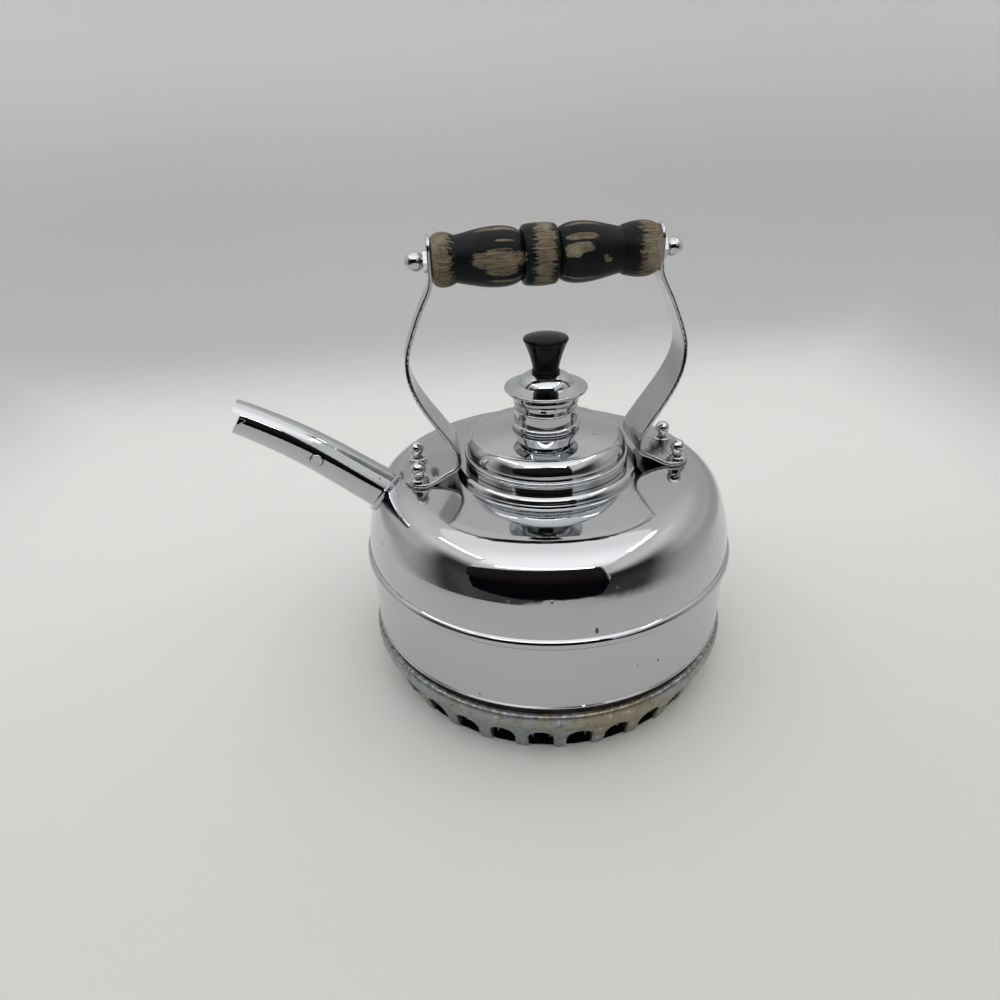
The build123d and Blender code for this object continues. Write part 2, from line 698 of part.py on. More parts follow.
# Turned grip: an end bulge, a barrel, a centre bead, a barrel and an end bulge. The profile is
# given as (distance along the rod, radius).
grip_bore = rod_radius + 0.08
left_bulge = ((-grip_half, 10.6), (-52.8, 11.9), (-47.6, 12.3), (-44.6, 11.2))
left_barrel = ((-43.6, 10.8), (-35.0, 12.6), (-22.5, 13.9), (-15.5, 12.8), (-11.9, 10.8))
bead_arcs = (
    ((-11.9, 10.8), (-11.6, 12.9), (-10.4, 13.9)),
    ((-10.4, 13.9), (-3.3, 14.4), (3.6, 13.9)),
    ((3.6, 13.9), (4.8, 12.9), (5.1, 10.8)),
)
right_barrel = ((5.1, 10.8), (8.6, 13.0), (15.5, 14.2), (27.0, 12.8), (36.2, 10.7))
right_bulge = ((37.6, 11.6), (43.0, 12.8), (52.0, 12.2), (grip_half, 10.8))
with BuildPart() as wooden_grip:
    with BuildSketch(Plane(origin=(0, 0, grip_axis), x_dir=(1, 0, 0), z_dir=(0, -1, 0))):
        with BuildLine():
            Line((-grip_half, grip_bore), left_bulge[0])
            Spline(*left_bulge)
            Line(left_bulge[-1], left_barrel[0])
            Spline(*left_barrel)
            for start, middle, end in bead_arcs:
                ThreePointArc(start, middle, end)
            Spline(*right_barrel)
            Line(right_barrel[-1], right_bulge[0])
            Spline(*right_bulge)
            Line(right_bulge[-1], (grip_half, grip_bore))
            Line((grip_half, grip_bore), (-grip_half, grip_bore))
        make_face()
    revolve(axis=Axis((0, 0, grip_axis), (1, 0, 0)))
save(wooden_grip.part, "wooden_grip")

# ---- spout pin and flap --------------------------------------------------------------------

pin_plane = Plane(origin=(pivot_x, 0, pivot_z), x_dir=(1, 0, 0), z_dir=(0, 1, 0))
head_seat = pivot_tube_radius - 0.25
with BuildPart() as spout_pin:
    with BuildSketch(pin_plane):
        Circle(pin_radius)
    extrude(amount=head_seat + 0.5, both=True)
    for side in (-1, 1):
        with BuildSketch(Plane(origin=(pivot_x, side * (head_seat + 0.4), pivot_z),
                               x_dir=(1, 0, 0), z_dir=(0, side, 0))):
            Circle(3.2)
        extrude(amount=0.9)
    fillet(spout_pin.edges().filter_by(GeomType.CIRCLE).sort_by(Axis.Y)[0], 0.6)
    fillet(spout_pin.edges().filter_by(GeomType.CIRCLE).sort_by(Axis.Y)[-1], 0.6)
save(spout_pin.part, "spout_pin")

flap_radius = pivot_tube_radius - spout_sheet - 0.9
with BuildPart() as spout_flap:
    with BuildSketch(pivot_plane.offset(-0.4)):
        Circle(flap_radius)
    extrude(amount=0.8)
    with Locations(Location((pivot_x, 0, pivot_z), (90, 0, 0))):
        Cylinder(pin_radius + 0.9, 2 * (flap_radius - 2.2))
        Cylinder(pin_radius + 0.06, 40, mode=Mode.SUBTRACT)
save(spout_flap.part, "spout_flap")
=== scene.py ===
import json
import math
import bpy
import bmesh
from mathutils import Matrix, Quaternion, Vector


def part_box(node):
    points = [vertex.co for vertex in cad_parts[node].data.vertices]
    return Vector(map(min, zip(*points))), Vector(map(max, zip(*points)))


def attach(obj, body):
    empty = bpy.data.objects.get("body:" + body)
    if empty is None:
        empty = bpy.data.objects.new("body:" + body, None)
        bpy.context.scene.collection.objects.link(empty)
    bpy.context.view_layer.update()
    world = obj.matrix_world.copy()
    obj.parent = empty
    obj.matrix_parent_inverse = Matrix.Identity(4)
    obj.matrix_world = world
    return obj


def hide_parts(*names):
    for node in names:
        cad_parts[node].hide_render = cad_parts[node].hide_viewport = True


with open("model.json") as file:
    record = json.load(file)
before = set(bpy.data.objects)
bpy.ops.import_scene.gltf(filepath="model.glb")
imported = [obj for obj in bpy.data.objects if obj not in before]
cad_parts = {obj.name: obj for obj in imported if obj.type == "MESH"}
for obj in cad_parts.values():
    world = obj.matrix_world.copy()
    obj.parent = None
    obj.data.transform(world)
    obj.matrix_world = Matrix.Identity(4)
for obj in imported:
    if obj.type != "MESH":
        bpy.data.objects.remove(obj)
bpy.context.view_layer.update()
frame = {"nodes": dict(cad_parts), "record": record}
nodes = frame["nodes"]
scene = bpy.context.scene
scene.view_settings.view_transform = "Standard"
print("frame loaded,", len(nodes), "nodes")

# camera
cameraSet = {"place": (-0.0635, -0.3401, 0.2954), "aim": (-0.02625, 0.00285, 0.09704),
             "roll": -2.15, "lens": 24.84}


def placeCamera(s):
    data = bpy.data.cameras.new("kettleCamera")
    data.lens = s["lens"]
    data.sensor_width = 36
    data.clip_start = 0.01
    data.clip_end = 60
    cam = bpy.data.objects.new("kettleCamera", data)
    scene.collection.objects.link(cam)
    place = Vector(s["place"])
    look = (Vector(s["aim"]) - place).to_track_quat("-Z", "Y")
    turned = look @ Quaternion((0, 0, 1), math.radians(s["roll"]))
    cam.matrix_world = Matrix.LocRotScale(place, turned, None)
    scene.camera = cam


placeCamera(cameraSet)


# shorthand for node trees
def link(tree, value, socket):
    if isinstance(value, (int, float)):
        socket.default_value = value
    elif isinstance(value, tuple):
        socket.default_value = (*value, 1.0) if len(socket.default_value) == 4 else value
    else:
        tree.links.new(value, socket)


def newMaterial(name):
    mat = bpy.data.materials.new(name)
    mat.use_nodes = True
    tree = mat.node_tree
    tree.nodes.clear()
    out = tree.nodes.new("ShaderNodeOutputMaterial")
    skin = tree.nodes.new("ShaderNodeBsdfPrincipled")
    tree.links.new(skin.outputs[0], out.inputs[0])
    return mat, tree, skin


def calc(tree, operation, a, b=0.0, c=0.0):
    node = tree.nodes.new("ShaderNodeMath")
    node.operation = operation
    for socket, value in zip(node.inputs, (a, b, c)):
        link(tree, value, socket)
    return node.outputs[0]


def ramp(tree, value, low, high, toLow=0.0, toHigh=1.0, smooth=True):
    node = tree.nodes.new("ShaderNodeMapRange")
    node.interpolation_type = "SMOOTHSTEP" if smooth else "LINEAR"
    for socket, number in zip(node.inputs, (value, low, high, toLow, toHigh)):
        link(tree, number, socket)
    return node.outputs[0]


def blendColour(tree, factor, a, b):
    node = tree.nodes.new("ShaderNodeMix")
    node.data_type = "RGBA"
    for socket, value in zip((node.inputs[0], node.inputs[6], node.inputs[7]), (factor, a, b)):
        link(tree, value, socket)
    return node.outputs[2]


def noise(tree, vector, scale, detail=3.0, rough=0.5):
    node = tree.nodes.new("ShaderNodeTexNoise")
    link(tree, vector, node.inputs["Vector"])
    link(tree, scale, node.inputs["Scale"])
    node.inputs["Detail"].default_value = detail
    node.inputs["Roughness"].default_value = rough
    return node.outputs[0]


def stretched(tree, vector, scale, place=(0, 0, 0)):
    node = tree.nodes.new("ShaderNodeMapping")
    link(tree, vector, node.inputs[0])
    node.inputs["Location"].default_value = place
    node.inputs["Scale"].default_value = scale
    return node.outputs[0]


def axes(tree, vector):
    node = tree.nodes.new("ShaderNodeSeparateXYZ")
    tree.links.new(vector, node.inputs[0])
    return node.outputs


def farFrom(tree, vector, place=(0, 0, 0)):
    node = tree.nodes.new("ShaderNodeVectorMath")
    node.operation = "DISTANCE"
    tree.links.new(vector, node.inputs[0])
    node.inputs[1].default_value = place
    return node.outputs["Value"]


def objectPoint(tree):
    return tree.nodes.new("ShaderNodeTexCoord").outputs["Object"]


def bumped(tree, skin, height, strength, distance=0.001):
    node = tree.nodes.new("ShaderNodeBump")
    node.inputs["Strength"].default_value = strength
    node.inputs["Distance"].default_value = distance
    link(tree, height, node.inputs["Height"])
    tree.links.new(node.outputs[0], skin.inputs["Normal"])


def newGroup(name, ins, outs):
    tree = bpy.data.node_groups.new(name, "ShaderNodeTree")
    for label, kind, value in ins:
        socket = tree.interface.new_socket(label, in_out="INPUT", socket_type=kind)
        if value is not None:
            socket.default_value = value
    for label, kind in outs:
        tree.interface.new_socket(label, in_out="OUTPUT", socket_type=kind)
    return tree, tree.nodes.new("NodeGroupInput").outputs, tree.nodes.new("NodeGroupOutput").inputs


def useGroup(tree, group, **values):
    node = tree.nodes.new("ShaderNodeGroup")
    node.node_tree = group
    for label, value in values.items():
        link(tree, value, node.inputs[label])
    return node.outputs


# paper sweep: a flat floor that curves up into walls at the back and both sides
sweepSet = {"side": 0.64, "back": 0.64, "corner": 0.3, "bend": 0.52, "wallTop": 1.75,
            "frontLeft": -0.75, "frontRight": -2.3, "frontFloor": -3.2,
            # the floor, bend and wall colours are painted light and shade: a darker floor in front, a
            # darker bend and lighter walls
            "floorShadedFront": (0.645, 0.64, 0.62), "floorLitBack": (0.82, 0.817, 0.80),
            "bendShade": (0.55, 0.55, 0.547), "wall": (0.88, 0.88, 0.877),
            "shade": (0.025, 0.025, 0.025), "glow": 0.2, "farSide": 4.5, "arcSteps": 12,
            "riseSteps": 24, "riseEase": 1.8,  # the ease makes the bend's first steps small
            "floorZone": (-0.3, 0.3), "bendZone": (0.36, 0.70), "wallZone": (0.12, 0.5),
            "rightZones": ((-0.1, -0.95), (0.5, 0.85)), "leftZones": ((0.12, -0.38), (-0.42, -0.75)),
            "shadeTop": (1.15, 0.6), "glowZone": (0.6, 1.2)}


def buildSweep(s):
    path = [((-s["side"], s["frontLeft"]), (-1, 0))]  # point, outward direction
    for side, start in ((-1, 180), (1, 90)):
        for i in range(s["arcSteps"] + 1):
            turn = math.radians(start - 90 * i / s["arcSteps"])
            d = (math.cos(turn), math.sin(turn))
            path.append(((side * (s["side"] - s["corner"]) + s["corner"] * d[0],
                          s["back"] - s["corner"] * (1 - d[1])), d))
    path.append(((s["side"], s["frontRight"]), (1, 0)))
    rise = [(0.0, 0.0)]
    for i in range(1, s["riseSteps"] + 1):
        turn = math.radians(90 * (i / s["riseSteps"]) ** s["riseEase"])
        rise.append((s["bend"] * math.sin(turn), s["bend"] * (1 - math.cos(turn))))
    rise.append((s["bend"], s["wallTop"]))
    points, faces = [], []
    for out, up in rise:
        points += [(x + dx * out, y + dy * out, up) for (x, y), (dx, dy) in path]
    n = len(path)
    for j in range(len(rise) - 1):
        for i in range(n - 1):
            faces.append((j * n + i, (j + 1) * n + i, (j + 1) * n + i + 1, j * n + i + 1))
    base = len(points)
    far = s["farSide"]
    points += [(far, s["frontRight"], 0), (far, s["frontFloor"], 0), (-far, s["frontFloor"], 0),
               (-far, s["frontLeft"], 0)]
    faces.append([n - 1 - k for k in range(n)] + [base + 3, base + 2, base + 1, base])
    mesh = bpy.data.meshes.new("paperSweep")
    mesh.from_pydata(points, [], faces)
    for face in mesh.polygons:
        face.use_smooth = len(face.vertices) == 4
    sweep = bpy.data.objects.new("paperSweep", mesh)
    scene.collection.objects.link(sweep)
    mat, tree, skin = newMaterial("sweepPaper")
    point = objectPoint(tree)
    x, y, z = axes(tree, point)
    # painted light and shade: the floor is darker at the front and lighter at the back, the bend is
    # darker and the walls grow lighter with height
    rising = ramp(tree, calc(tree, "MAXIMUM", y, calc(tree, "ABSOLUTE", x)), *s["bendZone"])
    tint = blendColour(tree, ramp(tree, y, *s["floorZone"]), s["floorShadedFront"], s["floorLitBack"])
    tint = blendColour(tree, rising, tint, s["bendShade"])
    tint = blendColour(tree, ramp(tree, z, *s["wallZone"]), tint, s["wall"])
    # painted shade: the lower side walls darken towards the open front
    sides = []
    for alongY, alongX in (s["rightZones"], s["leftZones"]):
        sides.append(calc(tree, "MULTIPLY", ramp(tree, y, *alongY), ramp(tree, x, *alongX)))
    dark = calc(tree, "MULTIPLY", calc(tree, "MAXIMUM", *sides), ramp(tree, z, *s["shadeTop"]))
    tint = blendColour(tree, dark, tint, s["shade"])
    glow = ramp(tree, z, *s["glowZone"], 0.0, s["glow"])  # painted glow: the upper walls give a faint light, though they are no lamp
    tree.links.new(blendColour(tree, glow, (0.0, 0.0, 0.0), (1.0, 1.0, 1.0)),
                   skin.inputs["Emission Color"])
    skin.inputs["Emission Strength"].default_value = 1.0
    grain = noise(tree, point, 4.0)
    tint = blendColour(tree, calc(tree, "MULTIPLY", grain, 0.05), tint, (0.4, 0.4, 0.4))
    tree.links.new(tint, skin.inputs["Base Color"])
    skin.inputs["Roughness"].default_value = 0.5
    skin.inputs["Specular IOR Level"].default_value = 0.25
    mesh.materials.append(mat)


buildSweep(sweepSet)
print("stage ready")

# soft room light: bright roof, pale walls, and a dark doorway in front that only gloss picks up
roomSet = {"wall": 0.78, "roofFront": 1.55, "roofBack": 1.12, "doorLeft": -1.73, "doorRight": 0.51,
           "doorTop": 0.95, "plain": 0.62}


def buildRoom(s):
    world = bpy.data.worlds.new("softRoom")
    scene.world = world
    world.use_nodes = True
    tree = world.node_tree
    tree.nodes.clear()
    out = tree.nodes.new("ShaderNodeOutputWorld")
    back = tree.nodes.new("ShaderNodeBackground")
    tree.links.new(back.outputs[0], out.inputs[0])
    x, y, z = axes(tree, tree.nodes.new("ShaderNodeTexCoord").outputs["Generated"])
    roof = blendColour(tree, ramp(tree, y, -0.55, 0.25), (s["roofFront"],) * 3, (s["roofBack"],) * 3)
    level = blendColour(tree, ramp(tree, z, 0.55, 0.78), (s["wall"],) * 3, roof)
    ahead = calc(tree, "MAXIMUM", calc(tree, "MULTIPLY", y, -1.0), 0.001)
    u = calc(tree, "DIVIDE", x, ahead)
    v = calc(tree, "DIVIDE", z, ahead)
    inLeft = ramp(tree, u, s["doorLeft"] - 0.08, s["doorLeft"] + 0.08)
    inRight = ramp(tree, u, s["doorRight"] + 0.04, s["doorRight"] - 0.04)
    under = ramp(tree, v, s["doorTop"] + 0.05, s["doorTop"] - 0.05)
    front = ramp(tree, y, 0.0, -0.02)
    door = calc(tree, "MULTIPLY", calc(tree, "MULTIPLY", inLeft, inRight),
                calc(tree, "MULTIPLY", under, front))
    inside = blendColour(tree, ramp(tree, v, 0.05, 0.5), (0.003, 0.003, 0.004), (0.02, 0.015, 0.014))
    level = blendColour(tree, door, level, inside)
    path = tree.nodes.new("ShaderNodeLightPath")
    level = blendColour(tree, path.outputs["Is Camera Ray"], level, (s["plain"],) * 3)
    tree.links.new(level, back.inputs[0])
    back.inputs[1].default_value = 1.0


buildRoom(roomSet)


def softLight(name, place, size, power, aim=(0, 0, 0.1)):
    data = bpy.data.lights.new(name, "AREA")
    data.shape = "RECTANGLE"
    data.size, data.size_y = size
    data.energy = power
    light = bpy.data.objects.new(name, data)
    scene.collection.objects.link(light)
    turn = (Vector(aim) - Vector(place)).to_track_quat("-Z", "Y")
    light.matrix_world = Matrix.LocRotScale(Vector(place), turn, None)


softLight("frontStrip", (-0.3, -1.5, 1.62), (2.0, 0.08), 3.4)
softLight("leftStrip", (-1.0, -0.1, 1.35), (0.9, 0.07), 1.4)
softLight("rightStrip", (1.0, -0.1, 1.5), (0.9, 0.07), 1.4)
print("lights ready")


# shared effect: scattered round pits with a random choice of cells
def buildPits():
    tree, ins, outs = newGroup("platePits", [
        ("Vector", "NodeSocketVector", None), ("Density", "NodeSocketFloat", 300.0),
        ("Share", "NodeSocketFloat", 0.03), ("Size", "NodeSocketFloat", 0.2)],
        [("Mask", "NodeSocketFloat"), ("Halo", "NodeSocketFloat")])
    cells = tree.nodes.new("ShaderNodeTexVoronoi")
    tree.links.new(ins["Vector"], cells.inputs["Vector"])
    tree.links.new(ins["Density"], cells.inputs["Scale"])
    split = tree.nodes.new("ShaderNodeSeparateColor")
    tree.links.new(cells.outputs["Color"], split.inputs[0])
    chosen = calc(tree, "LESS_THAN", split.outputs[0], ins["Share"])
    size = calc(tree, "MULTIPLY", ins["Size"], ramp(tree, split.outputs[1], 0, 1, 0.35, 1.0))
    away = calc(tree, "DIVIDE", cells.outputs["Distance"], size)
    tree.links.new(calc(tree, "MULTIPLY", chosen, ramp(tree, away, 1.0, 0.6)), outs["Mask"])
    tree.links.new(calc(tree, "MULTIPLY", chosen, ramp(tree, away, 2.2, 0.8)), outs["Halo"])
    return tree


pits = buildPits()


def plateChrome(name, s):
    mat, tree, skin = newMaterial(name)
    point = objectPoint(tree)
    haze = noise(tree, point, 35.0, 4.0, 0.6)
    fine = useGroup(tree, pits, Vector=point, Density=s["fine"], Share=s["fineShare"], Size=0.22)
    spots = useGroup(tree, pits, Vector=point, Density=s["spots"], Share=s["spotShare"], Size=0.2)
    colour = blendColour(tree, haze, s["colour"], tuple(v * 0.95 for v in s["colour"]))
    colour = blendColour(tree, calc(tree, "MULTIPLY", fine["Mask"], 0.75), colour, (0.16, 0.15, 0.13))
    colour = blendColour(tree, calc(tree, "MULTIPLY", spots["Mask"], 0.9), colour, s["spotColour"])
    if "pinRing" in s:  # a dark ring round a pin that runs along Y
        x, z = s["pinRing"]
        away = farFrom(tree, stretched(tree, point, (1, 0, 1)), (x, 0, z))
        ring = ramp(tree, away, s["pinRingReach"], s["pinRingReach"] * 0.8)
        colour = blendColour(tree, calc(tree, "MULTIPLY", ring, 0.92), colour, (0.02, 0.018, 0.015))
    skin.inputs["Metallic"].default_value = 1.0
    rough = ramp(tree, haze, 0.3, 0.75, s["rough"] * 0.6, s["rough"] * 1.8)
    for x, y, z, reach in s.get("stains", ()):  # brown burnt-on drips
        tall = s["stainSquash"]
        away = farFrom(tree, stretched(tree, point, (1, 1, tall)), (x, y, z * tall))
        jag = calc(tree, "MULTIPLY", noise(tree, point, 900.0, 2.0), reach)
        spot = ramp(tree, calc(tree, "ADD", away, jag), reach * 1.4, reach * 1.05)
        colour = blendColour(tree, spot, colour, s["stainColour"])
        rough = calc(tree, "MAXIMUM", rough, calc(tree, "MULTIPLY", spot, 0.5))
    tree.links.new(colour, skin.inputs["Base Color"])
    if "hazeTop" in s:  # years of wiping dull the flat top
        start, full = s["hazeFade"]
        flat = ramp(tree, axes(tree, point)[2], s["hazeTop"] - start, s["hazeTop"] - full)
        wiped = ramp(tree, noise(tree, point, 22.0, 3.0, 0.6), 0.35, 0.7, 0.03, 0.14)
        rough = calc(tree, "MAXIMUM", rough, calc(tree, "MULTIPLY", flat, wiped))
    marks = calc(tree, "MAXIMUM", fine["Mask"], spots["Halo"])
    tree.links.new(calc(tree, "MAXIMUM", rough, calc(tree, "MULTIPLY", marks, 0.42)),
                   skin.inputs["Roughness"])
    ripple = noise(tree, point, s["rippleScale"], 1.5)
    dent = calc(tree, "MULTIPLY", calc(tree, "ADD", fine["Halo"], spots["Halo"]), -0.04)
    bumped(tree, skin, calc(tree, "ADD", calc(tree, "MULTIPLY", ripple, s["ripple"]), dent), 1.0, 0.0004)
    return mat


chromeSet = {"colour": (0.555, 0.566, 0.58), "fine": 260.0, "fineShare": 0.012, "spots": 42.0,
             "spotShare": 0.02, "spotColour": (0.2, 0.15, 0.08), "rough": 0.03,
             "rippleScale": 26.0, "ripple": 0.5}
strapSet = dict(chromeSet, fine=420.0, fineShare=0.05, spots=150.0, spotShare=0.025,
                spotColour=(0.05, 0.045, 0.04), rough=0.13, rippleScale=60.0, ripple=0.06,
                colour=(0.50, 0.51, 0.52))
beadSet = dict(chromeSet, spots=190.0, spotShare=0.05, spotColour=(0.34, 0.19, 0.09))
smallSet = dict(chromeSet, fine=500.0, fineShare=0.06, spots=300.0, rippleScale=90.0, ripple=0.3)


def sootySteel():
    mat, tree, skin = newMaterial("sootySteel")
    point = objectPoint(tree)
    patch = ramp(tree, noise(tree, point, 70.0, 6.0, 0.75), 0.42, 0.66)
    tree.links.new(blendColour(tree, patch, (0.003, 0.0025, 0.0025), (0.05, 0.032, 0.021)),
                   skin.inputs["Base Color"])
    skin.inputs["Specular IOR Level"].default_value = 0.15
    tree.links.new(ramp(tree, patch, 0.3, 0.7, 0.35, 0.75), skin.inputs["Roughness"])
    bumped(tree, skin, patch, 0.5, 0.0004)
    return mat


def burntCrustAndShade():
    mat, tree, skin = newMaterial("burntCrustAndShade")
    point = objectPoint(tree)
    lumps = noise(tree, point, 240.0, 5.0, 0.7)
    # near black: partly burnt crust, partly painted shade under the kettle seen through the arches
    tree.links.new(blendColour(tree, ramp(tree, lumps, 0.45, 0.75), (0.0012, 0.001, 0.001),
                               (0.022, 0.016, 0.012)), skin.inputs["Base Color"])
    tree.links.new(ramp(tree, lumps, 0.3, 0.7, 0.7, 0.95), skin.inputs["Roughness"])
    skin.inputs["Specular IOR Level"].default_value = 0.08
    bumped(tree, skin, lumps, 0.8, 0.0008)
    return mat


# pitBand is the height where pits begin, are thickest, thin again and end; soil gathers at its top
castSet = {"cool": (0.33, 0.35, 0.36), "warm": (0.33, 0.30, 0.215), "dark": (0.055, 0.055, 0.055),
           "pale": (0.66, 0.66, 0.63), "pitColour": (0.04, 0.035, 0.03),
           "soilColour": (0.05, 0.042, 0.034), "pitBand": (0.020, 0.0225, 0.029, 0.0315),
           "soilZone": (0.0285, 0.0308)}


def castMetal(s):
    mat, tree, skin = newMaterial("castMetal")
    point = objectPoint(tree)
    up = axes(tree, point)[2]
    large = noise(tree, point, 28.0, 3.0, 0.6)
    mottle = noise(tree, point, 230.0, 6.0, 0.7)
    grit = noise(tree, point, 900.0, 3.0, 0.7)
    colour = blendColour(tree, ramp(tree, large, 0.46, 0.58), s["cool"], s["warm"])
    colour = blendColour(tree, ramp(tree, mottle, 0.53, 0.68, 0.0, 0.6), colour, s["dark"])
    colour = blendColour(tree, ramp(tree, mottle, 0.44, 0.32, 0.0, 0.6), colour, s["pale"])
    holes = useGroup(tree, pits, Vector=point, Density=700.0, Share=0.12, Size=0.3)
    begin, thick, thin, end = s["pitBand"]
    band = calc(tree, "MULTIPLY", ramp(tree, up, begin, thick), ramp(tree, up, end, thin))
    patchy = calc(tree, "MULTIPLY", band, ramp(tree, large, 0.42, 0.6))
    share = calc(tree, "ADD", calc(tree, "MULTIPLY", patchy, 0.85), 0.15)
    hole = calc(tree, "MULTIPLY", holes["Mask"], share)
    colour = blendColour(tree, hole, colour, s["pitColour"])
    soil = calc(tree, "MULTIPLY", ramp(tree, up, *s["soilZone"]),
                ramp(tree, noise(tree, point, 420.0, 4.0, 0.7), 0.42, 0.56))
    colour = blendColour(tree, calc(tree, "MULTIPLY", soil, 0.6), colour, s["soilColour"])
    tree.links.new(colour, skin.inputs["Base Color"])
    skin.inputs["Metallic"].default_value = 0.85
    tree.links.new(ramp(tree, mottle, 0.3, 0.7, 0.24, 0.46), skin.inputs["Roughness"])
    height = calc(tree, "ADD", calc(tree, "MULTIPLY", mottle, 0.6), calc(tree, "MULTIPLY", grit, 0.25))
    height = calc(tree, "ADD", height, calc(tree, "MULTIPLY", large, 1.6))
    bumped(tree, skin, calc(tree, "SUBTRACT", height, hole), 0.5, 0.0006)
    return mat


finSet = {"soot": (0.004, 0.0035, 0.003), "sootPale": (0.05, 0.045, 0.04),
          "bright": (0.62, 0.6, 0.56), "edgeZone": (0.0886, 0.0895)}  # radius of the pale outer edges, partly worn clean of soot and partly a painted highlight


def finMetal(s):
    mat, tree, skin = newMaterial("finMetal")
    point = objectPoint(tree)
    patch = noise(tree, point, 120.0, 5.0, 0.7)
    radius = farFrom(tree, stretched(tree, point, (1, 1, 0)))
    soot = blendColour(tree, patch, s["soot"], s["sootPale"])
    rubbedAndLit = ramp(tree, patch, 0.35, 0.5)
    # painted highlight: the outer fin edges turn pale, partly soot worn off and partly standing for
    # edges that catch the light
    edge = calc(tree, "MULTIPLY", ramp(tree, radius, *s["edgeZone"]), rubbedAndLit)
    tree.links.new(blendColour(tree, edge, soot, s["bright"]), skin.inputs["Base Color"])
    skin.inputs["Metallic"].default_value = 0.5
    tree.links.new(ramp(tree, patch, 0.3, 0.7, 0.3, 0.7), skin.inputs["Roughness"])
    bumped(tree, skin, patch, 0.4, 0.0003)
    return mat


def brushedBrass(name, colour, rough):
    mat, tree, skin = newMaterial(name)
    point = objectPoint(tree)
    patch = noise(tree, point, 200.0, 5.0, 0.6)
    tree.links.new(blendColour(tree, patch, colour, tuple(v * 0.6 for v in colour)),
                   skin.inputs["Base Color"])
    skin.inputs["Metallic"].default_value = 1.0
    tree.links.new(ramp(tree, patch, 0.3, 0.7, rough, rough * 2), skin.inputs["Roughness"])
    bumped(tree, skin, patch, 0.2, 0.0002)
    return mat


def blackResin():
    mat, tree, skin = newMaterial("blackResin")
    point = objectPoint(tree)
    cloud = noise(tree, point, 90.0, 4.0, 0.6)
    scratch = noise(tree, stretched(tree, point, (1, 1, 0.15)), 900.0, 4.0, 0.7)
    tree.links.new(blendColour(tree, cloud, (0.0012, 0.0012, 0.0013), (0.004, 0.0038, 0.0038)),
                   skin.inputs["Base Color"])
    tree.links.new(ramp(tree, calc(tree, "ADD", cloud, scratch), 0.8, 1.3, 0.18, 0.34),
                   skin.inputs["Roughness"])
    skin.inputs["Specular IOR Level"].default_value = 0.12
    bumped(tree, skin, scratch, 0.06, 0.0002)
    return mat


# paint worn to grey wood at both end bulges, on the middle bead and in patches on the barrels;
# a patch is its place along the grip in mm, its turn from the front, and half its length and angle
wearSet = {"axis": 0.232, "ends": (-0.0458, 0.0440), "bead": (-0.0072, 0.0024),
           "patches": ((-24.0, 6, 12.0, 15), (-23.0, -14, 7.5, 11), (-24.0, 74, 10.0, 5),
                       (-21.0, 41, 4.0, 2.2), (-20.5, -42, 8.5, 3),
                       (15.0, 40, 7.6, 6), (13.6, 19, 6.4, 8), (11.0, 8, 3.6, 6),
                       (27.6, -8, 1.7, 4), (26.2, -1, 1.1, 4), (14.0, -46, 8.5, 3), (17, 75, 8, 4),
                       (-27, 150, 9, 12), (16, 165, 8, 12), (-20, 235, 8, 9), (22, 215, 7, 9))}


def buildWear(s):
    tree, ins, outs = newGroup("paintWear", [("Vector", "NodeSocketVector", None)],
                               [("Worn", "NodeSocketFloat"), ("Edge", "NodeSocketFloat"),
                                ("Grain", "NodeSocketFloat")])
    point = ins["Vector"]
    along, y, z = axes(tree, point)
    up = calc(tree, "SUBTRACT", z, s["axis"])
    angle = calc(tree, "ARCTAN2", up, calc(tree, "MULTIPLY", y, -1.0))
    angle = calc(tree, "MULTIPLY", angle, 180 / math.pi)
    jagX = noise(tree, stretched(tree, point, (0.35, 2.4, 2.4)), 380.0, 6.0, 0.72)
    jagA = noise(tree, stretched(tree, point, (0.8, 1.0, 1.0), (0.3, 0.1, 0.2)), 210.0, 5.0, 0.65)
    left = ramp(tree, along, s["ends"][0] + 0.004, s["ends"][0] - 0.004, 0, 1, False)
    right = ramp(tree, along, s["ends"][1] - 0.004, s["ends"][1] + 0.004, 0, 1, False)
    beadIn = calc(tree, "MULTIPLY",
                  ramp(tree, along, s["bead"][0] - 0.0035, s["bead"][0] + 0.0035, 0, 1, False),
                  ramp(tree, along, s["bead"][1] + 0.0035, s["bead"][1] - 0.0035, 0, 1, False))
    total = calc(tree, "MAXIMUM", calc(tree, "MAXIMUM", left, right), beadIn)
    for x, turn, halfX, halfA in s["patches"]:
        dx = calc(tree, "DIVIDE", calc(tree, "SUBTRACT", along, x / 1000), halfX / 1000)
        da = calc(tree, "SUBTRACT", angle, turn)
        da = calc(tree, "WRAP", da, 180.0, -180.0)
        da = calc(tree, "DIVIDE", da, halfA * 1.15)
        away = calc(tree, "ADD", calc(tree, "POWER", calc(tree, "ABSOLUTE", dx), 3.0),
                    calc(tree, "POWER", calc(tree, "ABSOLUTE", da), 3.0))
        total = calc(tree, "MAXIMUM", total, ramp(tree, away, 2.2, 0.15, 0, 1, False))
    ragged = calc(tree, "ADD", calc(tree, "MULTIPLY", calc(tree, "SUBTRACT", jagX, 0.5), 2.3),
                  calc(tree, "MULTIPLY", calc(tree, "SUBTRACT", jagA, 0.5), 0.9))
    field = calc(tree, "ADD", total, ragged)
    tree.links.new(ramp(tree, field, 0.50, 0.56), outs["Worn"])
    tree.links.new(calc(tree, "MULTIPLY", ramp(tree, field, 0.36, 0.52), ramp(tree, field, 0.64, 0.52)),
                   outs["Edge"])
    tree.links.new(noise(tree, stretched(tree, point, (0.22, 3.4, 3.4)), 420.0, 6.0, 0.7), outs["Grain"])
    return tree


